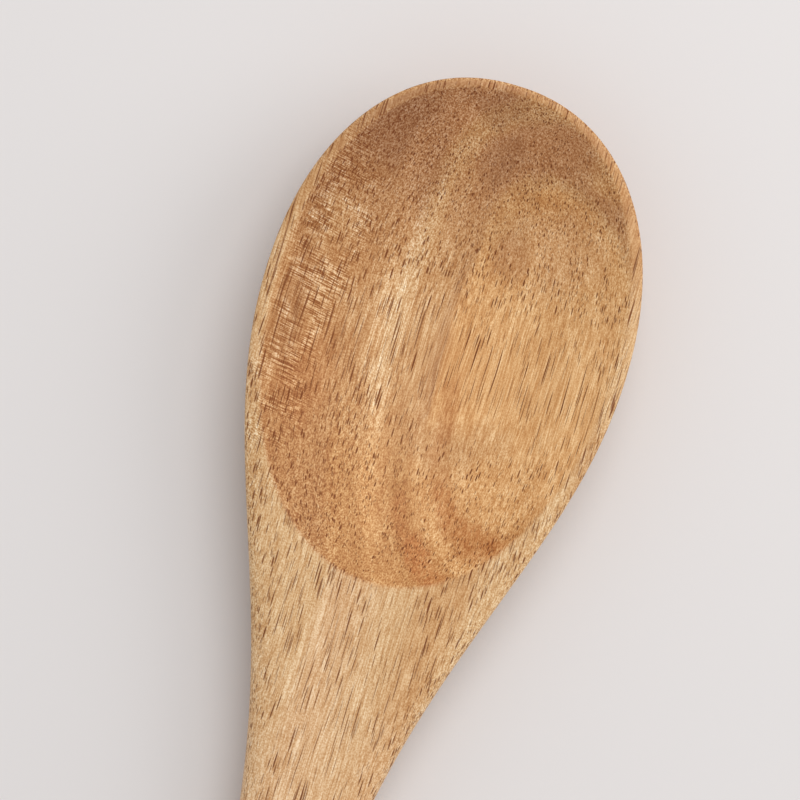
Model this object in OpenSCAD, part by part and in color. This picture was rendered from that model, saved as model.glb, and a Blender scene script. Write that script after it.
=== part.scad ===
// Carved wooden spoon: one piece of wood with an oval hollow, a rounded rim, a waisted handle and a hanging
// hole. It lies on z = 0 as it would on a table, on a small flat under the bowl and one under the handle's
// end. +Y runs from the handle's end to the bowl's tip, +X across the bowl, +Z up. The origin is below the
// middle of the spoon's length. Millimetres.

/* [Overall] */
// Length from the handle's end to the bowl's tip
total_l = 330; // [260:1:400]

/* [Bowl] */
// Width across the bowl at its widest line
bowl_w = 65; // [50:0.5:85]
// Length from the widest line to the tip
tip_l = 43; // [34:0.5:56]
// Distance over which the shoulders fade into the handle
shoulder_l = 62; // [54:0.5:80]
// Distance behind the widest line over which the heel of the bowl rises to the neck
heel_l = 36; // [30:0.5:44]
// Depth of the hollow below the rim at the widest line
hollow_d = 12; // [8:0.25:16]
// Wood left under the deepest point of the hollow
floor_t = 5.5; // [4:0.25:9]
// Length of the hollow from the widest line towards the neck
hollow_neck_l = 46.5; // [38:0.5:54]
// Width of the rim at the sides of the bowl
rim_side_w = 2.25; // [1.5:0.05:4]
// Width of the rim at the tip
rim_tip_w = 1.4; // [1:0.05:3]
// Height of the rim's rounded outer edge
rim_round_h = 2.5; // [1.5:0.1:4]

/* [Handle] */
// Thickness of the neck
neck_t = 11; // [8.5:0.25:14]
// Narrowest width of the handle
waist_w = 15; // [12:0.5:20]
// Distance from the widest line of the bowl to the waist
waist_d = 135; // [110:1:160]
// Width of the grip near the handle's end
grip_w = 24; // [18:0.5:32]
// Thickness of the handle at its end
end_t = 9; // [7:0.25:12]
// Length of the rounded end
end_l = 12; // [9:0.5:14]

/* [Hanging hole] */
// Diameter of the hole
hole_d = 7; // [4:0.25:9]
// Distance from the handle's end to the middle of the hole
hole_inset = 14; // [11:0.5:24]
// Width of the eased edge round the hole
hole_ease = 0.6; // [0.3:0.05:1]

/* [Underside] */
// How much wood is sanded off the underside, so that the spoon lies steady
flat_cut = 0.5; // [0.3:0.05:0.8]

/* [Hidden] */
// Powers of the outline and of the cross-sections: 2 is an ellipse, more is squarer
tip_power_share = 2.17;
hollow_neck_power_share = 2.05;
hollow_floor_power_share = 2.1;
end_power_share = 2.3;
rim_power_share = 10;
handle_top_power_share = 3;
bowl_under_power_share = 1.9;
handle_under_power_share = 2.6;
heel_power_share = 2.4;
// The land where the handle's cross-sections begin, as a share of the hollow's length to the neck
land_share = 1.17;
// The handle's edge lies halfway up its thickness
edge_share = 0.5;

rim_h = hollow_d + floor_t;
handle_l = total_l - tip_l;
land_d = hollow_neck_l * land_share;
end_d = handle_l - end_l;
middle_y = (tip_l - handle_l) / 2;
overrun = end_t;

// Steps round a quarter of the tip, along a shoulder, across half the land and round the handle's end
tip_steps = 16;
shoulder_steps = 10;
half_steps = 6;
end_steps = 12;
// Rings in the hollow and in the rim, and rows along the handle
hollow_rings = 8;
rim_rings = 4;
handle_rows = 34;
hole_facets = 64;

// How many places each stretch has, and where each stretch begins
neck_steps = shoulder_steps + half_steps;
around = 2 * tip_steps + 2 * neck_steps;
columns = 2 * half_steps + 1;
rings = hollow_rings + rim_rings;
land_first = 2 * tip_steps + shoulder_steps;
first_row = 1 + rings * around;
first_end = first_row + handle_rows * columns;

// Height of a curve that falls from 1 in the middle to 0 at the edge
function dome(v, power) = pow(max(0, 1 - pow(min(1, abs(v)), power)), 1 / power);

// Place on a quarter of a rounded outline, from the side at 0 degrees to the end at 90
function arc_side(a, power) = pow(cos(a), 2 / power);
function arc_end(a, power) = pow(sin(a), 2 / power);

// Distances d run from the widest line towards the handle's end, so the tip is at -tip_l.
// Share of the bowl that is left in the shoulders at a distance
function shoulder_share(d) = exp(-pow(max(0, d) / shoulder_l, 2));

// Share of the grip's swelling at a distance, from the waist to the rounded end
function grip_share(d) =
    let (u = max(0, min(1, (d - waist_d) / (end_d - waist_d))))
    u * u * (3 - 2 * u);

// How far the two ends have closed at a distance, for one power of the closing curve
function closing(d, tip_power, end_power) =
    d < 0 ? dome(d / tip_l, tip_power)
    : d > end_d ? dome((d - end_d) / end_l, end_power)
    : 1;

// Half the width of the spoon seen from above
function half_w(d) =
    (waist_w / 2
        + (bowl_w - waist_w) / 2 * shoulder_share(d)
        + (grip_w - waist_w) / 2 * grip_share(d))
    * closing(d, tip_power_share, end_power_share);

// The blank's top line falls straight from the tip to the handle's end
function line_z(d) = rim_h + (end_t - rim_h) * d / handle_l;

// Thickness of the handle, and of the whole spoon with the bowl's belly
function handle_t(d) = neck_t + (end_t + flat_cut - neck_t) * max(0, d) / handle_l;
function body_t(d) =
    handle_t(d) + (rim_h + flat_cut - neck_t) * exp(-pow(max(0, d) / heel_l, heel_power_share));

// Drop from the top line to the widest part of the edge
function edge_drop(d) =
    rim_round_h * shoulder_share(d) + handle_t(d) * edge_share * (1 - shoulder_share(d));
function edge_z(d) = line_z(d) - edge_drop(d);

// Powers of the cross-section over and under the edge
function top_power(d) =
    handle_top_power_share
    + (rim_power_share - handle_top_power_share) * pow(shoulder_share(d), 2);
function under_power(d) =
    handle_under_power_share
    + (bowl_under_power_share - handle_under_power_share) * shoulder_share(d);

// Share of the half width at a place, kept off the ends where the width is nothing
function across(x, d) = half_w(d) <= 0 ? 1 : x / half_w(d);

function top_z(x, d) =
    edge_z(d)
    + edge_drop(d) * closing(d, top_power(d), top_power(d)) * dome(across(x, d), top_power(d));
function under_z(x, d) =
    edge_z(d)
    - (body_t(d) - edge_drop(d)) * closing(d, under_power(d), under_power(d))
        * dome(across(x, d), under_power(d));

// The hollow's edge, by angle: the tip from 0 to 180 degrees, the neck side from 180 to 360
function hollow_edge(a) =
    let (side = a <= 90 || a >= 270 ? 1 : -1)
    let (q = a <= 180 ? min(a, 180 - a) : min(a - 180, 360 - a))
    a <= 180
    ? [side * (bowl_w / 2 - rim_side_w) * arc_side(q, tip_power_share),
        -(tip_l - rim_tip_w) * arc_end(q, tip_power_share)]
    : let (d = hollow_neck_l * arc_end(q, hollow_neck_power_share))
    [side * min((bowl_w / 2 - rim_side_w) * arc_side(q, hollow_neck_power_share),
            half_w(d) - rim_side_w), d];

// The outer ring that faces it: the tip, the left shoulder, the land across the neck, the right shoulder
tip_ring = [for (i = [0:2 * tip_steps - 1])
    let (a = 180 * i / (2 * tip_steps))
    let (q = min(a, 180 - a))
    [(a <= 90 ? 1 : -1) * bowl_w / 2 * arc_side(q, tip_power_share), -tip_l * arc_end(q, tip_power_share)]];
left_ring = [for (i = [0:shoulder_steps - 1])
    let (d = land_d * i / shoulder_steps)
    [-half_w(d), d]];
land_ring = [for (i = [-half_steps:half_steps])
    [half_w(land_d) * sin(90 * i / half_steps), land_d]];
right_ring = [for (i = [shoulder_steps - 1:-1:1])
    let (d = land_d * i / shoulder_steps)
    [half_w(d), d]];
outer_ring = concat(tip_ring, left_ring, land_ring, right_ring);
inner_ring = concat(
    [for (i = [0:2 * tip_steps - 1]) hollow_edge(180 * i / (2 * tip_steps))],
    [for (i = [0:2 * neck_steps - 1]) hollow_edge(180 + 180 * i / (2 * neck_steps))]);

// Places seen from above: the middle of the hollow, its rings, the handle's rows and the rounded end.
// Each is [x, d, ring share, on the outer edge].
bowl_places = concat(
    [[0, 0, 0, false]],
    [for (k = [1:rings])
        for (t = [0:around - 1])
            let (r = min(1, k / hollow_rings))
            let (o = sin(90 * max(0, k - hollow_rings) / rim_rings))
            concat(inner_ring[t] * r * (1 - o) + outer_ring[t] * o,
                [k <= hollow_rings ? r : -1,
                    k == rings && (t <= land_first || t >= land_first + 2 * half_steps)])]);
row_places = [for (j = [1:handle_rows])
    let (d = land_d + (end_d - land_d) * j / handle_rows)
    for (c = [-half_steps:half_steps])
        [half_w(d) * sin(90 * c / half_steps), d, -1, abs(c) == half_steps]];
end_places = [for (e = [1:end_steps - 1])
    let (a = 180 * e / end_steps)
    let (q = min(a, 180 - a))
    for (k = [1:half_steps])
        let (r = sin(90 * k / half_steps))
        [(a <= 90 ? -1 : 1) * r * half_w(end_d) * arc_side(q, end_power_share),
            end_d + r * end_l * arc_end(q, end_power_share), -1, k == half_steps]];
places = concat(bowl_places, row_places, end_places);
place_count = len(places);

// Numbers of the places in the rings, rows and end
function ring_no(k, t) = k == 0 ? 0 : 1 + (k - 1) * around + (t + around) % around;
function row_no(j, c) = j == 0 ? ring_no(rings, land_first + c) : first_row + (j - 1) * columns + c;
function end_no(e, k) =
    k == 0 ? row_no(handle_rows, half_steps)
    : e == 0 ? row_no(handle_rows, half_steps - k)
    : e == end_steps ? row_no(handle_rows, half_steps + k)
    : first_end + (e - 1) * half_steps + k - 1;

// Two triangles of a four-sided patch, split along one diagonal or the other
function patch(a, b, c, d, other) = other ? [[a, b, d], [b, c, d]] : [[a, b, c], [a, c, d]];

mid_tip = tip_steps;
mid_land = land_first + half_steps;
patches = concat(
    [for (t = [0:around - 1]) [0, ring_no(1, t), ring_no(1, t + 1)]],
    [for (k = [1:rings - 1])
        for (t = [0:around - 1])
            each patch(ring_no(k, t), ring_no(k + 1, t), ring_no(k + 1, t + 1), ring_no(k, t + 1),
                t >= mid_tip && t < mid_land)],
    [for (j = [0:handle_rows - 1])
        for (c = [0:columns - 2])
            each patch(row_no(j, c), row_no(j + 1, c), row_no(j + 1, c + 1), row_no(j, c + 1),
                c < half_steps)],
    [for (e = [0:end_steps - 1]) [end_no(e, 0), end_no(e, 1), end_no(e + 1, 1)]],
    [for (e = [0:end_steps - 1])
        for (k = [1:half_steps - 1])
            each patch(end_no(e, k), end_no(e, k + 1), end_no(e + 1, k + 1), end_no(e + 1, k),
                e < end_steps / 2)]);

// Height of the upper face at a place: in the hollow it falls from the edge to the floor
function upper_z(i) =
    let (p = places[i])
    p[3] ? edge_z(p[1])
    : p[2] < 0 ? top_z(p[0], p[1])
    : p[2] == 0 ? floor_t
    : let (rim = [p[0], p[1]] / p[2])
    floor_t + (top_z(rim[0], rim[1]) - floor_t) * pow(p[2], hollow_floor_power_share);
function under_no(i) = places[i][3] ? i : place_count + i;

upper_points = [for (i = [0:place_count - 1]) [places[i][0], -places[i][1], upper_z(i)]];
under_points = [for (p = places) [p[0], -p[1], under_z(p[0], p[1])]];
upper_faces = [for (f = patches) [f[2], f[1], f[0]]];
under_faces = [for (f = patches) [under_no(f[0]), under_no(f[1]), under_no(f[2])]];

// The carved form before the underside is sanded flat and the hole is drilled
module carved_form() {
    polyhedron(points = concat(upper_points, under_points), faces = concat(upper_faces, under_faces));
}

// Everything below the table is taken off
module sanding_cut() {
    translate([-bowl_w, -total_l, -rim_h])
        cube([2 * bowl_w, 2 * total_l, rim_h]);
}

// A straight hole with both edges eased at 45 degrees. The easing cones run as far past the faces as into
// the wood.
module hanging_hole() {
    hole_at_d = handle_l - hole_inset;
    hole_top_z = line_z(hole_at_d);
    hole_r = hole_d / 2;
    cone_r = hole_r + 2 * hole_ease;
    cone_h = 2 * hole_ease;
    translate([0, -hole_at_d, 0]) {
        translate([0, 0, -overrun])
            cylinder(r = hole_r, h = hole_top_z + 2 * overrun, $fn = hole_facets);
        translate([0, 0, -hole_ease])
            cylinder(r1 = cone_r, r2 = hole_r, h = cone_h, $fn = hole_facets);
        translate([0, 0, hole_top_z - hole_ease])
            cylinder(r1 = hole_r, r2 = cone_r, h = cone_h, $fn = hole_facets);
    }
}

module spoon() {
    color([0.78, 0.57, 0.35])
        translate([0, -middle_y, 0])
            difference() {
                carved_form();
                sanding_cut();
                hanging_hole();
            }
}

spoon();
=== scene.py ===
"""A carved wooden spoon: one piece of oiled hardwood on a pale floor."""
import math
from types import SimpleNamespace

import bpy
from bpy.props import FloatProperty, FloatVectorProperty, PointerProperty
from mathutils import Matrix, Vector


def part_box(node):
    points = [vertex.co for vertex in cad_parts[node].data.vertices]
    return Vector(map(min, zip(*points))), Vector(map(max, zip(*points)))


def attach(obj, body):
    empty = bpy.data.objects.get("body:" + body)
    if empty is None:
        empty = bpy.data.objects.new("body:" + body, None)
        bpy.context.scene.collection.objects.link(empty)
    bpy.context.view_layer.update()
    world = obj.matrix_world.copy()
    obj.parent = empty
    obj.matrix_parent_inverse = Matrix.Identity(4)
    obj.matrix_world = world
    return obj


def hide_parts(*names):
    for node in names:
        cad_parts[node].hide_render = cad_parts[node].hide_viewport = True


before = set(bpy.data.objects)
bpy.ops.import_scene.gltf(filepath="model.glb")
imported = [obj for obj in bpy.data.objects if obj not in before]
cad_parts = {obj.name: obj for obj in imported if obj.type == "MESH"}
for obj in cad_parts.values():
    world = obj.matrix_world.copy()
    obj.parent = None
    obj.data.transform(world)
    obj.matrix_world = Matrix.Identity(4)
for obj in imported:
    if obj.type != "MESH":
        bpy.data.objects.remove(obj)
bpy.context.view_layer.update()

bl_info = {
    "name": "Carved wooden spoon",
    "version": (1, 0, 0),
    "blender": (4, 5, 0),
    "location": "3D View > Sidebar > Spoon",
    "description": "Carves a wooden spoon from named sizes and finishes it in oiled hardwood",
    "category": "Add Mesh",
}

NODE = "spoon"
BODY = "root"
MM = 0.001
QUARTER_TURN = math.pi / 2

# Powers of the outline and of the cross-sections: 2 is an ellipse, more is squarer
TIP_POWER = 2.17
HOLLOW_NECK_POWER = 2.05
HOLLOW_FLOOR_POWER = 2.1
END_POWER = 2.3
RIM_POWER = 10
HANDLE_TOP_POWER = 3
BOWL_UNDER_POWER = 1.9
HANDLE_UNDER_POWER = 2.6
HEEL_POWER = 2.4
# The land across the neck, as a share of the hollow's length to the neck
LAND_SHARE = 1.17
# The handle's edge lies halfway up its thickness
EDGE_SHARE = 0.5
# Softness of the sanded flat's border, and how near two points are before they become one
FLAT_SOFTNESS = 0.08 * MM
MERGE_DISTANCE = 0.002 * MM
# Least half width that a place across is divided by
LEAST_HALF_WIDTH = 1e-7

# Steps round a quarter of the tip, along a shoulder and across half the land
TIP_STEPS = 48
SHOULDER_STEPS = 40
HALF_STEPS = 24
BOWL_HALF_ROUND = HALF_STEPS + SHOULDER_STEPS + TIP_STEPS
# Share of a quarter turn that the hollow's edge takes beside the shoulder
SHOULDER_TURN_SHARE = 0.625
# Rings in the hollow, over its eased edge and across the rim
HOLLOW_RINGS = 44
EASE_RINGS = 5
RIM_RINGS = 12
UNDER_RINGS = 40
# Rows along the handle, and steps and rings round its end
HANDLE_ROWS = 176
SIDE_STEPS = 14
END_STEPS = 26
HOLE_RINGS = 5
END_RINGS = 16
WALL_ROWS = 4
END_HALF_ROUND = HALF_STEPS + SIDE_STEPS + END_STEPS
# How closely the rings crowd towards the outside: 1 is evenly, more is closer
UNDER_CROWDING = 2.2
RIM_CROWDING = 3.5
END_CROWDING = 3.0
# A share past this has reached its end
NEARLY_ALL = 0.9999
# Room between nodes that are laid out
NODE_STEP = 190
# The picture: its width in points, a point's size at the height of the bowl's edge, and its centre
PICTURE_POINTS = 800
POINT_SIZE = 0.172872 * MM
EDGE_HEIGHT = 15 * MM
PICTURE_CENTRE = (-3.81 * MM, 107.34 * MM)
SENSOR_WIDTH = 36.0
# Half the floor's width, and the lamps' width and distance, in metres
FLOOR_REACH = 3.0
LAMP_WIDTH = 0.8
LAMP_DISTANCE = 1.1

# Slopes of the fibres: to the side, up along the handle, and down under the bowl beside that
FIBRE_LEAN = 0.01
HANDLE_FIBRE_RISE = 0.018
BOWL_FIBRE_DIP = 0.062
# Where the fibres begin to dip, and how softly: like all lengths in the wood, in millimetres
FIBRE_DIP_START = 75.0
FIBRE_DIP_SOFTNESS = 20.0
# Stretch along the spoon over which the log's heart bends, and how far it goes aside and down
HEART_BEND = (132.0, 158.0)
HEART_BEND_ASIDE = 11.2
HEART_BEND_DOWN = 4.48
# Radius at which a turn round the heart counts as a length
TURN_RADIUS = 45.0
# Stretches along the spoon over which one tone passes into the next
TIP_TONE = (122.0, 158.0)
FOOT_TONE = (116.0, 92.0)
BROWN_RIM = (116.0, 160.0)
PALE_HANDLE = (72.0, 36.0)
# Over this stretch painted shade darkens the rim's inner part towards the tip
PAINTED_LIP_SHADE = (136.0, 158.0)
# Stretches across the spoon: towards the hollow's left side, and down the handle's rounded sides
LEFT_SIDE = (2.0, -14.0)
ROUNDED_SIDES = (9.0, 15.0)
# Radius of a patch that goes right through the wood
ALL_DEPTHS = 1000.0
# Middle and radii of the stretch of wall that lies along the rays, and of the streak of open pores
RAY_WALL = {"Centre": (-23.8, 120.0, 0.0), "Radii": (8.5, 46.0, ALL_DEPTHS)}
OPEN_STREAK = {"Centre": (-8.5, 118.0, 0.0), "Radii": (9.0, 30.0, ALL_DEPTHS)}
# How red, green and blue follow a step of lightness, and what each then loses: dark wood is warmer
TINT_SHARES = (0.6, 1.0, 1.5)
TINT_LOSSES = (0.0, 0.02, 0.05)
# Depth of the fibres' and pores' relief, which the shader takes in metres
RELIEF = 0.05 * MM


def tone(red, green, blue):
    """A colour picked as 0 to 255 on a screen, as Blender's own linear numbers."""
    def linear(value):
        value = value / 255
        if value <= 0.04045:
            return value / 12.92
        return ((value + 0.055) / 1.055) ** 2.4
    return (linear(red), linear(green), linear(blue), 1.0)


def length(name, description, millimetres):
    """A length that a user can change, shown in the scene's own unit."""
    return FloatProperty(
        name=name,
        description=description,
        default=millimetres * MM,
        min=0.0,
        subtype="DISTANCE",
        unit="LENGTH",
        precision=5,
    )


def colour(name, description, picked):
    """A colour that a user can change."""
    return FloatVectorProperty(
        name=name,
        description=description,
        default=tone(*picked),
        size=4,
        min=0.0,
        max=1.0,
        subtype="COLOR",
    )


def strength(name, description, value):
    """The strength of a light that a user can change."""
    return FloatProperty(name=name, description=description, default=value, min=0.0)


blank_low, blank_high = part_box(NODE)
BLANK_LENGTH = (blank_high.y - blank_low.y) / MM
BLANK_WIDTH = (blank_high.x - blank_low.x) / MM


class SpoonSizes(bpy.types.PropertyGroup):
    """Lengths that the spoon is carved to."""

    total_length: length("Total length", "From the tip to the handle's end", BLANK_LENGTH)
    bowl_width: length("Bowl width", "Across the bowl's widest line", BLANK_WIDTH)
    tip_length: length("Tip length", "From the widest line to the tip", 43)
    shoulder_length: length("Shoulder length", "How slowly the shoulders narrow", 62)
    heel_length: length("Heel length", "How far the belly reaches back", 36)
    hollow_depth: length("Hollow depth", "From the rim down to the hollow's floor", 12)
    floor_thickness: length("Floor thickness", "Wood under the deepest place", 5.5)
    hollow_neck_length: length("Hollow to neck", "From the widest line to the hollow's end", 46.5)
    rim_side_width: length("Rim at the sides", "Rim beside the hollow", 2.25)
    rim_tip_width: length("Rim at the tip", "Rim in front of the hollow", 1.4)
    rim_round_height: length("Rim rounding", "Drop from the rim to the widest edge", 2.5)
    neck_thickness: length("Neck thickness", "Height of the neck", 11)
    waist_width: length("Waist width", "Narrowest place of the handle", 15)
    waist_distance: length("Waist distance", "From the widest line to the waist", 135)
    grip_width: length("Grip width", "Across the handle near its end", 24)
    end_thickness: length("End thickness", "Height of the handle's end", 9)
    end_length: length("End length", "Length of the rounded end", 12)
    hole_diameter: length("Hole diameter", "Bore of the hanging hole", 7)
    hole_inset: length("Hole inset", "From the handle's end to the hole's axis", 14)
    hole_ease: length("Hole easing", "Rounding of the hole's two edges", 0.6)
    flat_cut: length("Flat cut", "Depth of the sanded flat underneath", 0.5)
    edge_ease: length("Edge easing", "Rounding between the hollow and the rim", 0.45)


class WoodLook(bpy.types.PropertyGroup):
    """Tones of the wood, from its palest streak to its pores."""

    cream: colour("Cream", "Palest wood of the handle", (217, 174, 129))
    wheat: colour("Wheat", "Pale streak left of the middle", (211, 169, 121))
    straw: colour("Straw", "Pale wood of the bowl's right side", (220, 169, 113))
    honey: colour("Honey", "Warm wood between the bands", (212, 159, 103))
    tan: colour("Tan", "Even brown wood", (201, 153, 103))
    fawn: colour("Fawn", "Brown wood between pale streaks", (192, 143, 94))
    brown: colour("Brown", "Darker growth wood", (186, 135, 86))
    amber: colour("Amber", "Bright wood of the cut walls", (204, 149, 92))
    ginger: colour("Ginger", "Reddish wood of the cut walls", (196, 141, 86))
    copper: colour("Copper", "Dark bands of the foot wall", (184, 129, 75))
    russet: colour("Russet", "Darkest wood of the foot wall", (175, 121, 71))
    cocoa: colour("Cocoa", "Dark bands towards the tip", (177, 123, 79))
    umber: colour("Umber", "Dark wood of the tip wall", (159, 108, 68))
    # Plum is dark wood with painted shade added: it darkens the upper left of the hollow, which the lamps
    # light more
    plum_and_shade: colour("Plum", "Darkest wood, beside the upper left rim", (138, 90, 58))
    # Flax is paler than the wood: painted light that brightens the hollow's right wall, which the lamps
    # leave in shade
    flax_painted_light: colour("Flax", "Pale wood of the right wall", (234, 184, 127))
    rust: colour("Rust", "Rusty patches", (180, 113, 60))
    dusk: colour("Dusk", "Greyish wood at the upper right", (192, 143, 103))
    pore: colour("Pore", "Open pores and fine splits", (118, 60, 23))
    pith_across: length("Heart across", "Place of the log's heart across the bowl", 33)
    pith_below: length("Heart below", "Depth of the log's heart under the table", 27)


class StudioLook(bpy.types.PropertyGroup):
    """The floor, the lamps and the camera."""

    floor_tone: colour("Floor", "Pale floor", (226, 222, 221))
    key_strength: strength("Key lamp", "Strength of the large soft lamp", 5.0)
    side_strength: strength("Side lamp", "Strength of the low soft lamp", 3.4)
    fill_strength: strength("Fill light", "Strength of the light from all round", 0.57)
    camera_height: length("Camera height", "From the table up to the camera", 715)
    picture_turn: FloatProperty(
        name="Picture turn",
        description="How far the camera is turned about its own line of sight",
        default=math.radians(16.605),
        subtype="ANGLE",
    )


# Arithmetic on values that change over a surface

class Field:
    """A value that changes over a surface: a node's output, with plain arithmetic on it."""

    def __init__(self, socket):
        self.tree = socket.id_data
        self.socket = socket

    def __add__(self, other):
        return maths("ADD", self, other)

    def __radd__(self, other):
        return maths("ADD", other, self)

    def __sub__(self, other):
        return maths("SUBTRACT", self, other)

    def __rsub__(self, other):
        return maths("SUBTRACT", other, self)

    def __mul__(self, other):
        return maths("MULTIPLY", self, other)

    def __rmul__(self, other):
        return maths("MULTIPLY", other, self)

    def __truediv__(self, other):
        return maths("DIVIDE", self, other)

    def __rtruediv__(self, other):
        return maths("DIVIDE", other, self)

    def __pow__(self, other):
        return maths("POWER", self, other)

    def __abs__(self):
        return maths("ABSOLUTE", self)

    def at_least(self, other):
        return maths("MAXIMUM", self, other)

    def at_most(self, other):
        return maths("MINIMUM", self, other)

    def share(self):
        """The value kept between 0 and 1."""
        return self.at_least(0.0).at_most(1.0)


def feed(value, socket):
    """Wires a field into a socket, or writes a plain value there."""
    if isinstance(value, Field):
        value.tree.links.new(value.socket, socket)
    else:
        socket.default_value = value


def add_node(tree, kind, inputs=None, **settings):
    """A node with its settings, and with fields or plain values on its inputs, by name or by number."""
    node = tree.nodes.new(kind)
    for name, value in settings.items():
        setattr(node, name, value)
    for name, value in (inputs or {}).items():
        feed(value, node.inputs[name])
    return node


def worked(mesh, kind, inputs=None, **settings):
    """A mesh after one more node's work on it."""
    node = add_node(mesh.tree, kind, {0: mesh, **(inputs or {})}, **settings)
    return Field(node.outputs[0])


def tree_of(values):
    """The tree of the first field among some values."""
    return next(value.tree for value in values if isinstance(value, Field))


def maths(operation, *values):
    """One step of arithmetic."""
    node = add_node(tree_of(values), "ShaderNodeMath", dict(enumerate(values)), operation=operation)
    return Field(node.outputs[0])


def sine(value):
    return maths("SINE", value)


def cosine(value):
    """A cosine that never falls under 0, so that a root can be drawn from it."""
    return maths("COSINE", value).at_least(0.0)


def root(value):
    return maths("SQRT", value)


def exponential(value):
    return maths("EXPONENT", value)


def steps(value):
    """The nearest whole number of steps."""
    return maths("ROUND", value)


def vector(x, y, z):
    """Three values as one place."""
    node = add_node(x.tree, "ShaderNodeCombineXYZ", {0: x, 1: y, 2: z})
    return Field(node.outputs[0])


def parts(place):
    """The three values of one place."""
    node = add_node(place.tree, "ShaderNodeSeparateXYZ", {0: place})
    return tuple(Field(socket) for socket in node.outputs)


def lay_out(tree):
    """Sets the nodes in columns from left to right, in the order in which they work."""
    depth = {node.name: 0 for node in tree.nodes}
    for _ in range(len(tree.nodes)):
        moved = False
        for link in tree.links:
            wanted = depth[link.from_node.name] + 1
            if depth[link.to_node.name] < wanted:
                depth[link.to_node.name] = wanted
                moved = True
        if not moved:
            break
    used = {}
    for node in tree.nodes:
        column = depth[node.name]
        row = used.get(column, 0)
        used[column] = row + 1
        node.location = (column * NODE_STEP, -row * NODE_STEP)


# The spoon's rule of shape, as geometry nodes

def size_names():
    """The spoon's sizes by property name, with the label of each."""
    return {name: SpoonSizes.bl_rna.properties[name].name for name in SpoonSizes.__annotations__}


def new_tree(name, kind):
    """An empty node tree, in place of one that has this name."""
    old = bpy.data.node_groups.get(name)
    if old is not None:
        bpy.data.node_groups.remove(old)
    return bpy.data.node_groups.new(name, kind)


def add_inputs(tree, labels, kind="NodeSocketFloat"):
    """Gives a tree named inputs of one kind, and returns them."""
    return [
        tree.interface.new_socket(name=label, in_out="INPUT", socket_type=kind)
        for label in labels
    ]


def add_size_inputs(tree):
    """One named input for each of the spoon's sizes."""
    names = size_names()
    for name, socket in zip(names, add_inputs(tree, names.values())):
        socket.subtype = "DISTANCE"
        socket.default_value = SpoonSizes.bl_rna.properties[name].default


def read_inputs(tree):
    """A tree's own inputs as fields, by label."""
    node = add_node(tree, "NodeGroupInput")
    return {socket.name: Field(socket) for socket in node.outputs if socket.name}


def read_sizes(inputs):
    """The sizes among a tree's inputs, by property name."""
    return SimpleNamespace(**{name: inputs[label] for name, label in size_names().items()})


def new_rule(name, *labels):
    """A new tree for a rule of shape, as its own inputs and the spoon's sizes."""
    tree = new_tree(name, "GeometryNodeTree")
    add_inputs(tree, labels)
    add_size_inputs(tree)
    inputs = read_inputs(tree)
    return inputs, read_sizes(inputs)


def end_tree(**fields):
    """Ends a tree in outputs named after the fields, and sets its nodes in order."""
    tree = tree_of(fields.values())
    for name in fields:
        tree.interface.new_socket(name=name, in_out="OUTPUT", socket_type="NodeSocketFloat")
    add_node(tree, "NodeGroupOutput", fields)
    lay_out(tree)
    return tree


def use_group(group, values, sizes):
    """Places a group with its values and the spoon's sizes, and returns its outputs as fields."""
    inputs = {**values, **{label: getattr(sizes, name) for name, label in size_names().items()}}
    node = add_node(tree_of(values.values()), "GeometryNodeGroup", inputs, node_tree=group)
    return {socket.name: Field(socket) for socket in node.outputs}


def dome(value, power):
    """Height of a curve that falls from 1 in the middle to 0 at the edge."""
    return (1.0 - abs(value).at_most(1.0) ** power).at_least(0.0) ** (1.0 / power)


def handle_length(sizes):
    return sizes.total_length - sizes.tip_length


def end_distance(sizes):
    return handle_length(sizes) - sizes.end_length


def shoulder_share(distance, sizes):
    """Share of the bowl that is left in the shoulders at a distance behind the widest line."""
    return exponential(0.0 - (distance.at_least(0.0) / sizes.shoulder_length) ** 2.0)


def make_outline_tree():
    """Half the spoon's width at a distance behind the bowl's widest line, before its ends close."""
    inputs, sizes = new_rule("Spoon outline", "Distance")
    distance = inputs["Distance"]
    waist = sizes.waist_distance
    along = ((distance - waist) / (end_distance(sizes) - waist)).share()
    grip = along * along * (3.0 - 2.0 * along)
    half = (
        sizes.waist_width * 0.5
        + (sizes.bowl_width - sizes.waist_width) * 0.5 * shoulder_share(distance, sizes)
        + (sizes.grip_width - sizes.waist_width) * 0.5 * grip
    )
    return end_tree(Half=half)


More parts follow.
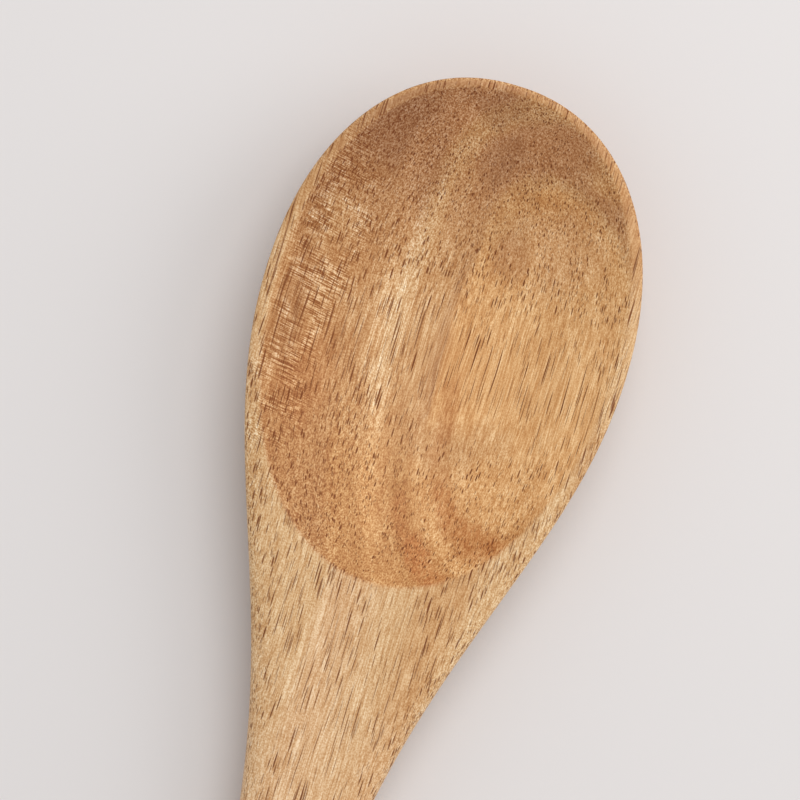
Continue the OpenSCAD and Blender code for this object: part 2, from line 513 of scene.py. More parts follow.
def make_heights_tree(outline):
    """Heights of the upper and the under surface over a place, without the hollow."""
    inputs, sizes = new_rule("Spoon heights", "Across", "Distance", "Edge")
    distance = inputs["Distance"]
    inside = 1.0 - inputs["Edge"]
    shoulder = shoulder_share(distance, sizes)
    past_tip = (0.0 - distance).at_least(0.0) / sizes.tip_length
    past_end = (distance - end_distance(sizes)).at_least(0.0) / sizes.end_length
    half = use_group(outline, {"Distance": distance}, sizes)["Half"]
    width = half * dome(past_tip, TIP_POWER) * dome(past_end, END_POWER)
    across = inputs["Across"] / width.at_least(LEAST_HALF_WIDTH)

    rim_height = sizes.hollow_depth + sizes.floor_thickness
    back = distance / handle_length(sizes)
    line = rim_height + (sizes.end_thickness - rim_height) * back
    handle = (
        sizes.neck_thickness
        + (sizes.end_thickness + sizes.flat_cut - sizes.neck_thickness) * back.at_least(0.0)
    )
    heel = exponential(0.0 - (distance.at_least(0.0) / sizes.heel_length) ** HEEL_POWER)
    body = handle + (rim_height + sizes.flat_cut - sizes.neck_thickness) * heel
    drop = sizes.rim_round_height * shoulder + handle * EDGE_SHARE * (1.0 - shoulder)
    edge = line - drop

    top_power = HANDLE_TOP_POWER + (RIM_POWER - HANDLE_TOP_POWER) * shoulder * shoulder
    under_power = HANDLE_UNDER_POWER + (BOWL_UNDER_POWER - HANDLE_UNDER_POWER) * shoulder
    top_close = dome(past_tip, top_power) * dome(past_end, top_power) * dome(across, top_power)
    under_close = dome(past_tip, under_power) * dome(past_end, under_power) * dome(across, under_power)
    top = edge + drop * top_close * inside
    under = edge - (body - drop) * under_close * inside
    # The table flat: everything lower is sanded off, with a slightly softened border
    flat = 0.5 * (under + root(under * under + FLAT_SOFTNESS * FLAT_SOFTNESS))
    return end_tree(Top=top, Under=flat)


def store_mark(mesh, name, value):
    """Stores a named value on a mesh's points, for the wood to read."""
    inputs = {"Name": name, "Value": value}
    return worked(mesh, "GeometryNodeStoreNamedAttribute", inputs, data_type="FLOAT", domain="POINT")


def stretches(step, *counts):
    """How much of each stretch, one after the other, a number of steps has covered, from 0 to 1."""
    shares = []
    before = 0
    for count in counts:
        shares.append(((step - before) / count).share())
        before += count
    return shares


def crowd_outwards(share, crowding):
    """A share of the way out, with its steps closer together towards the outside."""
    return 1.0 - (1.0 - share) ** crowding


class SpoonPatches:
    """The patches of surface that the spoon is made of, built in one tree."""

    def __init__(self, tree, outline, heights):
        self.tree = tree
        self.outline = outline
        self.heights = heights
        self.sizes = read_sizes(read_inputs(tree))
        self.patches = []

    def half(self, distance):
        return use_group(self.outline, {"Distance": distance}, self.sizes)["Half"]

    def surface(self, across, distance, edge):
        values = {"Across": across, "Distance": distance, "Edge": edge}
        return use_group(self.heights, values, self.sizes)

    def grid(self, across_steps, along_steps):
        """A flat sheet of faces, and where each of its points lies on it, in steps."""
        points = {"Vertices X": across_steps + 1, "Vertices Y": along_steps + 1}
        node = add_node(self.tree, "GeometryNodeMeshGrid", {"Size X": 1.0, "Size Y": 1.0, **points})
        position = add_node(self.tree, "GeometryNodeInputPosition")
        u, v, _ = parts(Field(position.outputs[0]))
        across = steps((u + 0.5) * across_steps)
        along = steps((v + 0.5) * along_steps)
        return Field(node.outputs["Mesh"]), across, along

    def place(self, mesh, x, distance, z, flip, **marks):
        """Bends a sheet into its place on the spoon, with named marks for the wood."""
        for name, value in marks.items():
            mesh = store_mark(mesh, name, value)
        y = self.sizes.total_length * 0.5 - self.sizes.tip_length - distance
        mesh = worked(mesh, "GeometryNodeSetPosition", {"Position": vector(x, y, z)})
        if flip:
            mesh = worked(mesh, "GeometryNodeFlipFaces")
        self.patches.append(mesh)

    def at_end(self, share):
        """1 where a share has reached its end, and 0 before that."""
        return maths("GREATER_THAN", share, NEARLY_ALL)

    def land(self):
        return self.sizes.hollow_neck_length * LAND_SHARE

    def bowl_ring(self, ray):
        """The bowl's outer ring and the hollow's edge on each ray, round from the land's middle."""
        sizes = self.sizes
        step = BOWL_HALF_ROUND - abs(ray - BOWL_HALF_ROUND)
        side = maths("SIGN", BOWL_HALF_ROUND - ray)
        on_land, on_shoulder, on_tip = stretches(step, HALF_STEPS, SHOULDER_STEPS, TIP_STEPS)
        tip_turn = on_tip * QUARTER_TURN
        tip_side = cosine(tip_turn) ** (2.0 / TIP_POWER)
        tip_end = sine(tip_turn) ** (2.0 / TIP_POWER)
        outer_d = self.land() * (1.0 - on_shoulder) - sizes.tip_length * tip_end
        outer_x = self.half(outer_d) * sine(on_land * QUARTER_TURN) * tip_side * side
        neck_turn = (
            QUARTER_TURN
            - on_land * (QUARTER_TURN * (1 - SHOULDER_TURN_SHARE))
            - on_shoulder * (QUARTER_TURN * SHOULDER_TURN_SHARE)
        )
        neck_side = cosine(neck_turn) ** (2.0 / HOLLOW_NECK_POWER)
        neck_end = sine(neck_turn).at_least(0.0) ** (2.0 / HOLLOW_NECK_POWER)
        inner_d = (
            sizes.hollow_neck_length * neck_end
            - (sizes.tip_length - sizes.rim_tip_width) * tip_end
        )
        widest = sizes.bowl_width * 0.5 - sizes.rim_side_width
        room = self.half(inner_d) - sizes.rim_side_width
        inner_x = (widest * neck_side * tip_side).at_most(room) * side
        return outer_x, outer_d, inner_x, inner_d, self.at_end(on_land)

    def bowl_top(self):
        """The hollow, its eased edge and the rim."""
        sizes = self.sizes
        mesh, ray, ring = self.grid(2 * BOWL_HALF_ROUND, HOLLOW_RINGS + EASE_RINGS + RIM_RINGS)
        outer_x, outer_d, inner_x, inner_d, outline = self.bowl_ring(ray)
        in_hollow, on_edge, on_rim = stretches(ring, HOLLOW_RINGS, EASE_RINGS, RIM_RINGS)
        ease = sizes.edge_ease

        corner_z = self.surface(inner_x, inner_d, 0.0)["Top"]
        reach = root(inner_x * inner_x + inner_d * inner_d)
        share = in_hollow * (1.0 - ease / reach)
        floor = sizes.floor_thickness
        hollow_z = floor + (corner_z - floor) * share ** HOLLOW_FLOOR_POWER

        gap_x = outer_x - inner_x
        gap_d = outer_d - inner_d
        start = ease / root(gap_x * gap_x + gap_d * gap_d)
        out = start + (1.0 - start) * crowd_outwards(on_rim, RIM_CROWDING)
        rim_x = inner_x + gap_x * out
        rim_d = inner_d + gap_d * out
        on_outline = outline * self.at_end(on_rim)
        rim_z = self.surface(rim_x, rim_d, on_outline)["Top"]

        before = (1.0 - on_edge) * (1.0 - on_edge)
        between = 2.0 * on_edge * (1.0 - on_edge)
        after = on_edge * on_edge
        x = before * (inner_x * share) + between * inner_x + after * rim_x
        d = before * (inner_d * share) + between * inner_d + after * rim_d
        z = before * hollow_z + between * corner_z + after * rim_z
        self.place(mesh, x, d, z, flip=True, in_hollow=1.0 - on_edge, near_hollow=1.0 - out)

    def bowl_under(self):
        """The bowl's belly."""
        mesh, ray, ring = self.grid(2 * BOWL_HALF_ROUND, UNDER_RINGS)
        outer_x, outer_d, _, _, outline = self.bowl_ring(ray)
        share = ring / UNDER_RINGS
        out = crowd_outwards(share, UNDER_CROWDING)
        edge = outline * self.at_end(share)
        x = outer_x * out
        d = outer_d * out
        self.place(mesh, x, d, self.surface(x, d, edge)["Under"], flip=False)

    def handle(self, side):
        """The handle's upper or under surface, from the land to the end's own patch."""
        columns = 2 * HALF_STEPS
        mesh, column, row = self.grid(columns, HANDLE_ROWS)
        turn = (column / columns * 2.0 - 1.0) * QUARTER_TURN
        across = sine(turn)
        distance = self.land() + (self.end_line() - self.land()) * (row / HANDLE_ROWS)
        edge = maths("GREATER_THAN", abs(turn), QUARTER_TURN * NEARLY_ALL)
        x = self.half(distance) * across
        z = self.surface(x, distance, edge)[side]
        self.place(mesh, x, distance, z, flip=side == "Top")

    def hole_distance(self):
        return handle_length(self.sizes) - self.sizes.hole_inset

    def end_line(self):
        """Where the end's own patch begins: as far before the hole as the grip's half width."""
        return self.hole_distance() - self.sizes.grip_width * 0.5

    def end_ring(self, ray):
        """The end patch's outer ring on each ray, and the direction of the ray from the hole's axis."""
        sizes = self.sizes
        step = END_HALF_ROUND - abs(ray - END_HALF_ROUND)
        side = maths("SIGN", END_HALF_ROUND - ray)
        on_line, on_side, on_end = stretches(step, HALF_STEPS, SIDE_STEPS, END_STEPS)
        turn = on_end * QUARTER_TURN
        first = self.end_line()
        last = end_distance(sizes)
        straight_d = first + (last - first) * on_side
        outer_d = straight_d + sizes.end_length * sine(turn) ** (2.0 / END_POWER)
        end_side = cosine(turn) ** (2.0 / END_POWER)
        outer_x = self.half(straight_d) * sine(on_line * QUARTER_TURN) * end_side * side
        away_d = outer_d - self.hole_distance()
        reach = root(outer_x * outer_x + away_d * away_d)
        return outer_x / reach, away_d / reach, reach, self.at_end(on_line)

    def handle_end(self, side):
        """The handle's end round the hanging hole, with the hole's edge rounded over."""
        sizes = self.sizes
        mesh, ray, ring = self.grid(2 * END_HALF_ROUND, HOLE_RINGS + END_RINGS)
        way_x, way_d, reach, outline = self.end_ring(ray)
        on_hole, on_face = stretches(ring, HOLE_RINGS, END_RINGS)
        hole_turn = on_hole * QUARTER_TURN
        radius = sizes.hole_diameter * 0.5
        ease = sizes.hole_ease
        out = radius + ease * (1.0 - cosine(hole_turn))
        out = out + (reach - radius - ease) * crowd_outwards(on_face, END_CROWDING)
        x = way_x * out
        d = self.hole_distance() + way_d * out
        edge = outline * self.at_end(on_face)
        sunk = ease * (1.0 - sine(hole_turn))
        surface = self.surface(x, d, edge)[side]
        z = surface - sunk if side == "Top" else surface + sunk
        self.place(mesh, x, d, z, flip=side == "Under")

    def hole_wall(self):
        """The straight wall of the hanging hole."""
        sizes = self.sizes
        mesh, ray, row = self.grid(2 * END_HALF_ROUND, WALL_ROWS)
        way_x, way_d, _, _ = self.end_ring(ray)
        radius = sizes.hole_diameter * 0.5
        x = way_x * radius
        d = self.hole_distance() + way_d * radius
        surface = self.surface(x, d, 0.0)
        low = surface["Under"] + sizes.hole_ease
        high = surface["Top"] - sizes.hole_ease
        z = low + (high - low) * (row / WALL_ROWS)
        self.place(mesh, x, d, z, flip=False)

    def join(self, material):
        """Joins the patches into one closed solid and finishes it."""
        join = add_node(self.tree, "GeometryNodeJoinGeometry")
        for mesh in self.patches:
            feed(mesh, join.inputs[0])
        mesh = worked(Field(join.outputs[0]), "GeometryNodeMergeByDistance", {"Distance": MERGE_DISTANCE})
        mesh = worked(mesh, "GeometryNodeSetShadeSmooth")
        normal = Field(add_node(self.tree, "GeometryNodeInputNormal").outputs[0])
        fibres = (FIBRE_LEAN, 1.0, HANDLE_FIBRE_RISE - BOWL_FIBRE_DIP)
        dot = add_node(self.tree, "ShaderNodeVectorMath", {0: normal, 1: fibres}, operation="DOT_PRODUCT")
        mesh = store_mark(mesh, "end_grain", Field(dot.outputs["Value"]))
        mesh = worked(mesh, "GeometryNodeRealizeInstances")
        mesh = worked(mesh, "GeometryNodeSetMaterial", {"Material": material})
        add_node(self.tree, "NodeGroupOutput", {"Geometry": mesh})


def make_spoon_tree(material):
    """The whole spoon as one tree of geometry nodes, with its sizes as inputs."""
    outline = make_outline_tree()
    heights = make_heights_tree(outline)
    tree = new_tree("Carved spoon", "GeometryNodeTree")
    tree.is_modifier = True
    tree.interface.new_socket(name="Geometry", in_out="OUTPUT", socket_type="NodeSocketGeometry")
    add_size_inputs(tree)
    patches = SpoonPatches(tree, outline, heights)
    patches.bowl_top()
    patches.bowl_under()
    patches.handle("Top")
    patches.handle("Under")
    patches.handle_end("Top")
    patches.handle_end("Under")
    patches.hole_wall()
    patches.join(material)
    lay_out(tree)
    return tree


def carve_mesh(name, material, sizes):
    """Runs the spoon's tree on an empty piece and keeps the result as a plain mesh."""
    tree = make_spoon_tree(material)
    piece = bpy.data.objects.new(name, bpy.data.meshes.new(name))
    bpy.context.scene.collection.objects.link(piece)
    modifier = piece.modifiers.new("Carving", "NODES")
    modifier.node_group = tree
    names = {label: property_name for property_name, label in size_names().items()}
    for item in tree.interface.items_tree:
        if item.in_out == "INPUT":
            modifier[item.identifier] = getattr(sizes, names[item.name])
    depsgraph = bpy.context.evaluated_depsgraph_get()
    evaluated = piece.evaluated_get(depsgraph)
    mesh = bpy.data.meshes.new_from_object(
        evaluated, preserve_all_data_layers=True, depsgraph=depsgraph
    )
    mesh.name = name
    piece.modifiers.clear()
    mesh.materials.clear()
    mesh.materials.append(material)
    piece.data = mesh
    return piece


# The wood

def noise(place, detail=2.0, roughness=0.5):
    """Soft random value at a place, about 0.5 on average."""
    inputs = {"Vector": place, "Scale": 1.0, "Detail": detail, "Roughness": roughness}
    node = add_node(place.tree, "ShaderNodeTexNoise", inputs, noise_dimensions="3D")
    return Field(node.outputs[0])


def smooth_step(value, low, high):
    """0 below low, 1 above high and a soft passage between; the other way round where low is more."""
    inputs = {"Value": value, "From Min": low, "From Max": high}
    node = add_node(value.tree, "ShaderNodeMapRange", inputs, interpolation_type="SMOOTHSTEP", clamp=True)
    return Field(node.outputs["Result"])


def mix(share, below, above, kind="MIX"):
    """Lays one colour over another."""
    settings = {"data_type": "RGBA", "blend_type": kind, "clamp_factor": True}
    inputs = {"Factor": share, "A": below, "B": above}
    node = add_node(below.tree, "ShaderNodeMix", inputs, **settings)
    colour_sockets = [socket for socket in node.outputs if socket.type == "RGBA"]
    return Field(colour_sockets[0])


def new_group(name, places, values):
    """A new shader group's inputs as fields: first the places, then the plain values."""
    tree = new_tree(name, "ShaderNodeTree")
    add_inputs(tree, places, "NodeSocketVector")
    add_inputs(tree, values)
    inputs = read_inputs(tree)
    return [inputs[label] for label in (*places, *values)]


def make_pores_group():
    """Open vessels cut by the surface: dark strokes along the fibres, dots across them."""
    values = ("Spacing", "Run", "Width", "Share")
    place, spacing, run, width, share = new_group("Wood pores", ("Place",), values)
    x, y, z = parts(place)
    inputs = {"Vector": vector(x / spacing, y / run, z / spacing), "Scale": 1.0}
    cells = add_node(place.tree, "ShaderNodeTexVoronoi", inputs, voronoi_dimensions="3D", feature="F1")
    distance = Field(cells.outputs["Distance"])
    chance, luck, _ = parts(Field(cells.outputs["Color"]))
    # Pores stand in loose groups
    crowd = noise(vector(x / 3.0, y / 30.0, z / 3.0), detail=1.0)
    limit = share * (1.0 + (crowd - 0.5) * 3.5)
    there = smooth_step(luck, limit + 0.05, limit - 0.05)
    size = width * (0.75 + 0.5 * chance)
    depth = 0.55 + 0.45 * chance
    return end_tree(Mask=smooth_step(distance, size, size * 0.6) * depth * there)


def make_streaks_group():
    """Soft streaks that run with the fibres, from 0 to 1, about 0.5 on average."""
    place, spacing, run = new_group("Wood streaks", ("Place",), ("Spacing", "Run"))
    x, y, z = parts(place)
    scaled = vector(x / spacing, y / run, z / spacing)
    streak = noise(scaled, detail=2.0, roughness=0.6)
    return end_tree(Streak=smooth_step(streak, 0.28, 0.72))


def make_flecks_group():
    """Ray flecks: short bright and dark bars across the fibres where a ray lies in the surface."""
    outward, round_heart, along = new_group("Ray flecks", (), ("Outward", "Round", "Along"))
    bars = noise(vector(outward / 3.6, round_heart / 0.28, along / 0.21), detail=1.0)
    bars = smooth_step(bars, 0.36, 0.6)
    crowd = noise(vector(outward / 5.0, round_heart / 3.0, along / 5.0), detail=1.0)
    return end_tree(Fleck=0.5 + (bars - 0.5) * (0.35 + smooth_step(crowd, 0.4, 0.62)))


def make_patch_group():
    """A soft patch round a centre: 1 inside, falling to 0 at its radii."""
    place, centre, radii = new_group("Soft patch", ("Place", "Centre", "Radii"), ())
    x, y, z = parts(place)
    cx, cy, cz = parts(centre)
    rx, ry, rz = parts(radii)
    away_x = (x - cx) / rx
    away_y = (y - cy) / ry
    away_z = (z - cz) / rz
    away = root(away_x * away_x + away_y * away_y + away_z * away_z)
    return end_tree(Mask=smooth_step(away, 1.0, 0.25))


def shader_group(group, **values):
    """Places a shader group with its values and returns its first output."""
    node = add_node(tree_of(values.values()), "ShaderNodeGroup", values, node_tree=group)
    return Field(node.outputs[0])


def read_attribute(tree, name):
    """A value that the spoon's tree stored on the mesh."""
    node = add_node(tree, "ShaderNodeAttribute", attribute_type="GEOMETRY", attribute_name=name)
    return Field(node.outputs["Fac"])


# Tones of the growth rings by their distance in millimetres from the log's heart, in the bowl's middle
MIDDLE_RINGS = (
    (28, "honey"), (36, "straw"), (41.5, "straw"), (43.2, "honey"), (45.4, "honey"),
    (46.1, "fawn"), (47.4, "tan"), (51.2, "tan"), (52.8, "wheat"), (53.8, "wheat"),
    (55.6, "tan"), (58, "fawn"), (61, "brown"), (74, "brown"),
)
# The same rings where the hollow's wall cuts across the fibres at the tip
TIP_RINGS = (
    (28, "tan"), (38, "tan"), (41.4, "honey"), (43.2, "ginger"), (44.6, "amber"),
    (45.5, "brown"), (46.6, "cocoa"), (50, "cocoa"), (51.6, "fawn"), (53, "brown"),
    (54.4, "cocoa"), (56.6, "cocoa"), (60.5, "umber"), (74, "umber"),
)
# And at the foot
FOOT_RINGS = (
    (28, "tan"), (38, "honey"), (43.2, "honey"), (44.2, "ginger"), (46.2, "honey"),
    (47.2, "ginger"), (48.4, "copper"), (49.4, "copper"), (51.2, "ginger"), (53.2, "amber"),
    (55.2, "copper"), (58, "copper"), (61, "russet"), (74, "russet"),
)
# And on the handle and the rim
HANDLE_RINGS = (
    (28, "wheat"), (44.6, "wheat"), (46.4, "tan"), (48, "tan"), (50, "wheat"),
    (57, "cream"), (60, "wheat"), (66, "wheat"), (75, "wheat"), (83, "tan"),
)
# Distances from the heart at which a ramp of tones begins and ends
HEART_NEAR = 24
HEART_FAR = 84
# Soft patches in the hollow: tone, share, middle across and along, half width and half length. Some keep
# to rings, and say the middle and the half width of these. The lengths are in millimetres
HOLLOW_PATCHES = (
    # The plum patches paint shade over dark wood at the upper left
    ("plum_and_shade", 0.42, -19, 151, 7.5, 8),
    ("plum_and_shade", 0.35, -16, 157, 10, 5.5),
    ("umber", 0.6, -10.5, 148, 4.5, 13),
    ("fawn", 0.4, -4, 149, 2.5, 9),
    ("brown", 0.45, -1, 137, 4.5, 7),
    ("brown", 0.75, 6, 142, 6, 9),
    # Painted light on the upper right wall
    ("ginger", 0.8, 21.5, 154, 6.5, 6),
    ("flax_painted_light", 0.4, 22.5, 141.5, 8.5, 8),
    ("plum_and_shade", 0.3, -26, 137, 3.5, 7),
    ("plum_and_shade", 0.35, 2, 152, 6, 10, 48.5, 2.5),
    ("rust", 0.6, 16, 88, 9.5, 6.5, 44.7, 1.5),
    ("rust", 0.55, 9, 93, 5, 8, 44.6, 1.3),
    ("rust", 0.85, 7.5, 82, 8.5, 7.5, 48.4, 1.6),
    ("rust", 0.4, 2.5, 87, 5, 6.5, 49.2, 1.5),
    ("rust", 0.25, 9, 108, 6, 12, 45, 1),
    ("copper", 0.5, -1, 80, 8, 7),
    ("fawn", 0.7, 6, 101, 8, 7),
    # Painted light along the right wall
    ("flax_painted_light", 0.75, 27.5, 112, 6, 35),
    ("rust", 0.3, -21, 106, 7, 12),
    ("umber", 0.35, -26.5, 122, 4, 22),
    ("wheat", 0.2, -9.5, 121, 5.5, 16),
    ("wheat", 0.5, -23.5, 134, 6, 9),
    ("dusk", 0.3, 15, 140, 11, 12),
    ("cocoa", 0.3, 0.5, 118, 2.8, 27),
    ("umber", 0.5, 1, 114, 0.5, 14),
    ("cocoa", 0.5, 7.5, 136, 4.5, 6.5),
    ("fawn", 0.45, 12.5, 104, 8, 6),
    ("plum_and_shade", 0.35, -2, 160.5, 10.5, 4.5),
    ("wheat", 0.4, -16, 120, 4.5, 6.5),
    ("tan", 0.4, 19, 155, 6, 5),
    ("straw", 0.4, 3, 127, 1.6, 17),
    ("rust", 0.35, 5, 106, 2.2, 14),
)
# The same on the rim: two dark splits, a darker stretch and a paler one
RIM_PATCHES = (
    ("pore", 0.7, -30.9, 125, 0.25, 15),
    ("pore", 0.8, 31.5, 117.5, 0.35, 2.5),
    ("brown", 0.45, 30.5, 106, 4, 10),
    ("cream", 0.35, -30, 106, 4, 9),
)


def ring_ramp(ring, tones, look):
    """Colours of the growth rings."""
    share = (ring - HEART_NEAR) / (HEART_FAR - HEART_NEAR)
    node = add_node(ring.tree, "ShaderNodeValToRGB", {0: share})
    ramp = node.color_ramp
    ramp.interpolation = "EASE"
    while len(ramp.elements) < len(tones):
        ramp.elements.new(0.5)
    for element, (distance, name) in zip(ramp.elements, tones):
        element.position = (distance - HEART_NEAR) / (HEART_FAR - HEART_NEAR)
        element.color = getattr(look, name)
    return Field(node.outputs["Color"])


def lay_patches(group, place, ring, grain, ground, patches, look):
    """Lays the soft patches over a ground. Those that keep to rings soak in along the grain."""
    for name, share, across, along, half_width, half_length, *rings in patches:
        radii = (half_width, half_length, ALL_DEPTHS)
        mask = shader_group(group, Place=place, Centre=(across, along, 0.0), Radii=radii)
        if rings:
            middle, reach = rings
            mask = mask * grain * smooth_step(abs(ring - middle), reach, reach * 0.4)
        ground = mix(mask * share, ground, getattr(look, name))
    return ground


def wander(x, y, z, width, run, reach, other):
    """Two soft wanderings at a place: the other one is the same noise, read further on."""
    one = vector(x / width, y / run, z / width)
    two = vector(x / width + other[0], y / run, z / width + other[1])
    return (noise(one) - 0.5) * reach, (noise(two) - 0.5) * reach


def make_wood(look):
    """Oiled hardwood, solid through and through: the same rings, fibres and pores on every side."""
    material = bpy.data.materials.new("Oiled wood")
    material.use_nodes = True
    tree = material.node_tree
    tree.nodes.clear()
    output = add_node(tree, "ShaderNodeOutputMaterial")
    shader = add_node(tree, "ShaderNodeBsdfPrincipled", {"Specular IOR Level": 0.25})
    feed(Field(shader.outputs[0]), output.inputs["Surface"])

    pores_group = make_pores_group()
    streaks_group = make_streaks_group()
    flecks_group = make_flecks_group()

    coordinates = add_node(tree, "ShaderNodeTexCoord")
    x, y, z = (value / MM for value in parts(Field(coordinates.outputs["Object"])))
    # The rings wander slowly, and the fibres more often
    wander_x, wander_z = wander(x, y, z, width=24.0, run=70.0, reach=1.2, other=(7.3, 3.1))
    curl_x, curl_z = wander(x, y, z, width=5.0, run=26.0, reach=1.4, other=(4.7, 9.2))

    # Towards the tip the log's heart bends aside and down
    bend = smooth_step(y, *HEART_BEND)
    across = x + wander_x - look.pith_across / MM + bend * HEART_BEND_ASIDE
    above = z + wander_z + look.pith_below / MM + bend * HEART_BEND_DOWN
    ring = root(across * across + above * above)
    turn = maths("ARCTAN2", across, above) * TURN_RADIUS
    # The fibres dip towards the tip under the bowl and lie along the handle behind it
    past = y - FIBRE_DIP_START
    dip = past + root(past * past + FIBRE_DIP_SOFTNESS * FIBRE_DIP_SOFTNESS)
    rise = past * HANDLE_FIBRE_RISE - dip * (BOWL_FIBRE_DIP / 2)
    fibre_x = x + curl_x - past * FIBRE_LEAN
    fibre_z = z + curl_z - rise
    fibre = vector(fibre_x, y, fibre_z)

    in_hollow = read_attribute(tree, "in_hollow")

    blurred = ring + (noise(vector(x / 1.6, y / 22.0, z / 1.6)) - 0.5) * 1.2
    middle_tone = ring_ramp(blurred, MIDDLE_RINGS, look)
    tip_tone = ring_ramp(blurred, TIP_RINGS, look)
    foot_tone = ring_ramp(blurred, FOOT_RINGS, look)
    handle_tone = ring_ramp(ring, HANDLE_RINGS, look)
    hollow_tone = mix(smooth_step(y, *TIP_TONE), middle_tone, tip_tone)
    hollow_tone = mix(smooth_step(y, *FOOT_TONE), hollow_tone, foot_tone)
    # Patch edges wander a little
    wide = vector(x / 4.0, y / 9.0, z / 4.0)
    wide_other = vector(x / 4.0 + 3.3, y / 9.0 + 8.1, z / 4.0)
    spread = vector(x + (noise(wide) - 0.5) * 5.0, y + (noise(wide_other) - 0.5) * 10.0, 0.0)
    patch_group = make_patch_group()
    grain = 0.5 + shader_group(streaks_group, Place=fibre, Spacing=0.35, Run=7.0)
    hollow_tone = lay_patches(patch_group, spread, blurred, grain, hollow_tone, HOLLOW_PATCHES, look)
    handle_tone = mix(smooth_step(y, *BROWN_RIM) * 0.95, handle_tone, look.brown)
    handle_tone = mix(smooth_step(y, *PALE_HANDLE) * 0.6, handle_tone, look.cream)
    flat_place = vector(x, y, 0.0)
    handle_tone = lay_patches(patch_group, flat_place, ring, grain, handle_tone, RIM_PATCHES, look)
    # At the tip painted shade darkens the rim's inner part towards the hollow's tone, but for a thin
    # paler line along its outside
    near_hollow = read_attribute(tree, "near_hollow")
    painted_lip_shade = smooth_step(near_hollow, 0.1, 0.6) * smooth_step(y, *PAINTED_LIP_SHADE)
    ground = mix(in_hollow.at_least(painted_lip_shade * 0.62), handle_tone, hollow_tone)

    # Fibres, growth layers, flecks and blotches, as steps of lightness
    fine_streak = shader_group(streaks_group, Place=fibre, Spacing=0.21, Run=10.0)
    broad_place = vector(fibre_x + 31.0, y, fibre_z)
    broad_streak = shader_group(streaks_group, Place=broad_place, Spacing=0.9, Run=40.0)
    layers = noise(vector(ring / 0.9, turn / 9.0, y / 80.0), detail=2.0)
    blotch = noise(vector(x / 5.0, y / 11.0, z / 5.0), detail=2.0)
    speckle = noise(vector(fibre_x / 0.26, y / 0.34, fibre_z / 0.26), detail=0.0)
    speckle = smooth_step(speckle, 0.3, 0.66)
    bars = shader_group(flecks_group, Outward=ring, Round=turn, Along=y + x * 0.17)
    # The hollow's left wall lies along the rays
    radial = shader_group(patch_group, Place=spread, **RAY_WALL)
    # On the left the fibres interlock, and the cutter left a coarser stipple
    leftward = smooth_step(x, *LEFT_SIDE) * in_hollow
    # The pale streak is full of open pores, and the handle's rounded sides cut the fibres short
    busy = shader_group(patch_group, Place=spread, **OPEN_STREAK)
    beside = smooth_step(abs(x), *ROUNDED_SIDES) * (1.0 - in_hollow)
    end_grain = abs(read_attribute(tree, "end_grain"))
    light = (
        (fine_streak - 0.5) * (0.6 + in_hollow * 0.08 + busy * 0.25)
        + (broad_streak - 0.5) * (0.1 + in_hollow * 0.15)
        + (layers - 0.5) * (0.4 + in_hollow * 0.2)
        + (blotch - 0.5) * 0.3
        + (speckle - 0.5) * (0.26 - in_hollow * 0.06 + leftward * 0.25 + end_grain * 0.8)
        + (bars - 0.5) * 0.1
        + (bars - 0.72) * radial
        + leftward * 0.04
        + 0.07
    )
    tint = add_node(tree, "ShaderNodeCombineColor")
    for socket, share, loss in zip(tint.inputs[:3], TINT_SHARES, TINT_LOSSES):
        feed(exponential(light * share - loss), socket)
    ground = mix(1.0, ground, Field(tint.outputs[0]), "MULTIPLY")

    bold = shader_group(
        pores_group,
        Place=fibre,
        Spacing=0.42,
        Run=16.0,
        Width=0.3 + (beside + radial + busy + leftward + end_grain) * 0.035,
        Share=0.9 - in_hollow * 0.38 + (radial + busy) * 0.55 + (leftward + beside + end_grain) * 0.35,
    )
    small = shader_group(pores_group, Place=fibre, Spacing=0.3, Run=10.0, Width=0.33, Share=0.6)
    ground = mix(bold * (0.95 + in_hollow * 0.05), ground, look.pore)
    ground = mix(small * 0.75, ground, look.pore)
    feed(ground, shader.inputs["Base Color"])

    feed(0.48 + (fine_streak - 0.5) * 0.12 + bold * 0.2, shader.inputs["Roughness"])
    height = fine_streak * 0.25 + bars * 0.15 - bold * 0.8 - small * 0.4
    bump = add_node(tree, "ShaderNodeBump", {"Strength": 1.0, "Distance": RELIEF, "Height": height})
    feed(Field(bump.outputs["Normal"]), shader.inputs["Normal"])
    lay_out(tree)
    return material


class SPOON_OT_carve(bpy.types.Operator):
    """Carve the spoon from its sizes and finish it in oiled wood"""

    bl_idname = "spoon.carve"
    bl_label = "Carve the spoon"
    bl_options = {"REGISTER", "UNDO"}

    def execute(self, context):
        material = make_wood(context.scene.spoon_wood)
        piece = carve_mesh("wooden_spoon", material, context.scene.spoon_sizes)
        if not piece.data.polygons:
            raise RuntimeError("the spoon's tree made no faces")
        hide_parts(NODE)
        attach(piece, BODY)
        return {"FINISHED"}


class SPOON_OT_stage(bpy.types.Operator):
    """Set the pale floor, the soft lamps and the camera"""

    bl_idname = "spoon.stage"
    bl_label = "Set the stage"
    bl_options = {"REGISTER", "UNDO"}

    def execute(self, context):
        make_stage(context.scene, context.scene.spoon_studio)
        if context.scene.camera is None:
            raise RuntimeError("the stage has no camera")
        return {"FINISHED"}


def hang_lamp(scene, name, power, tilt, heading):
    """A soft round lamp aimed at the bowl, tilted from upright by degrees towards a heading."""
    lamp = bpy.data.lights.new(name, "AREA")
    lamp.shape = "DISK"
    lamp.size = LAMP_WIDTH
    lamp.energy = power
    tilt = math.radians(tilt)
    piece = bpy.data.objects.new(name, lamp)
    piece.location = (
        PICTURE_CENTRE[0] - math.sin(heading) * math.sin(tilt) * LAMP_DISTANCE,
        PICTURE_CENTRE[1] + math.cos(heading) * math.sin(tilt) * LAMP_DISTANCE,
        math.cos(tilt) * LAMP_DISTANCE,
    )
    piece.rotation_euler = (-tilt, 0.0, heading)
    scene.collection.objects.link(piece)


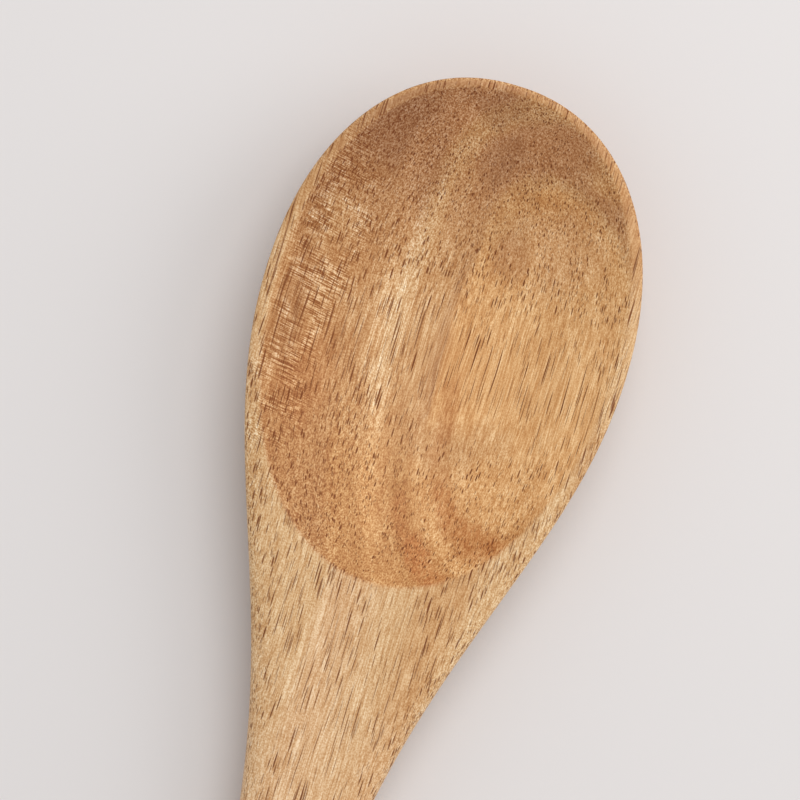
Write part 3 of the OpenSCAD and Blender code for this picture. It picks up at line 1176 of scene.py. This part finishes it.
def make_stage(scene, look):
    """The floor, the lamps, the even light and the camera over the bowl."""
    floor = bpy.data.meshes.new("Floor")
    corners = ((-1, -1), (1, -1), (1, 1), (-1, 1))
    points = [(x * FLOOR_REACH, y * FLOOR_REACH, 0) for x, y in corners]
    floor.from_pydata(points, [], [(0, 1, 2, 3)])
    floor_piece = bpy.data.objects.new("Floor", floor)
    scene.collection.objects.link(floor_piece)
    paint = bpy.data.materials.new("Pale floor")
    paint.use_nodes = True
    shader = paint.node_tree.nodes["Principled BSDF"]
    shader.inputs["Base Color"].default_value = look.floor_tone
    shader.inputs["Roughness"].default_value = 0.85
    shader.inputs["Specular IOR Level"].default_value = 0.2
    floor.materials.append(paint)

    world = bpy.data.worlds.new("Even light")
    world.use_nodes = True
    background = world.node_tree.nodes["Background"]
    background.inputs["Color"].default_value = (1.0, 1.0, 1.0, 1.0)
    background.inputs["Strength"].default_value = look.fill_strength
    scene.world = world

    turn = look.picture_turn
    hang_lamp(scene, "Key lamp", look.key_strength, 30, turn - math.radians(28))
    hang_lamp(scene, "Side lamp", look.side_strength, 60, turn - math.radians(78))

    camera = bpy.data.cameras.new("Camera")
    camera.sensor_width = SENSOR_WIDTH
    picture_width = PICTURE_POINTS * POINT_SIZE
    camera.lens = SENSOR_WIDTH * (look.camera_height - EDGE_HEIGHT) / picture_width
    camera.clip_start = 0.01
    camera_piece = bpy.data.objects.new("Camera", camera)
    camera_piece.location = (*PICTURE_CENTRE, look.camera_height)
    camera_piece.rotation_euler = (0.0, 0.0, turn)
    scene.collection.objects.link(camera_piece)
    scene.camera = camera_piece
    scene.view_settings.view_transform = "Standard"


class SPOON_PT_workshop(bpy.types.Panel):
    """The spoon's steps and sizes"""

    bl_idname = "SPOON_PT_workshop"
    bl_label = "Carved spoon"
    bl_space_type = "VIEW_3D"
    bl_region_type = "UI"
    bl_category = "Spoon"

    def draw(self, context):
        layout = self.layout
        layout.operator(SPOON_OT_carve.bl_idname)
        layout.operator(SPOON_OT_stage.bl_idname)
        groups = (
            (context.scene.spoon_sizes, SpoonSizes),
            (context.scene.spoon_wood, WoodLook),
            (context.scene.spoon_studio, StudioLook),
        )
        for values, kind in groups:
            box = layout.box()
            box.label(text=kind.__doc__)
            for name in kind.__annotations__:
                box.prop(values, name)


CLASSES = (SpoonSizes, WoodLook, StudioLook, SPOON_OT_carve, SPOON_OT_stage, SPOON_PT_workshop)


def register():
    for kind in CLASSES:
        bpy.utils.register_class(kind)
    bpy.types.Scene.spoon_sizes = PointerProperty(type=SpoonSizes)
    bpy.types.Scene.spoon_wood = PointerProperty(type=WoodLook)
    bpy.types.Scene.spoon_studio = PointerProperty(type=StudioLook)


def unregister():
    del bpy.types.Scene.spoon_studio
    del bpy.types.Scene.spoon_wood
    del bpy.types.Scene.spoon_sizes
    for kind in reversed(CLASSES):
        bpy.utils.unregister_class(kind)


def main():
    register()
    bpy.ops.spoon.stage()
    bpy.ops.spoon.carve()


if __name__ == "__main__":
    main()
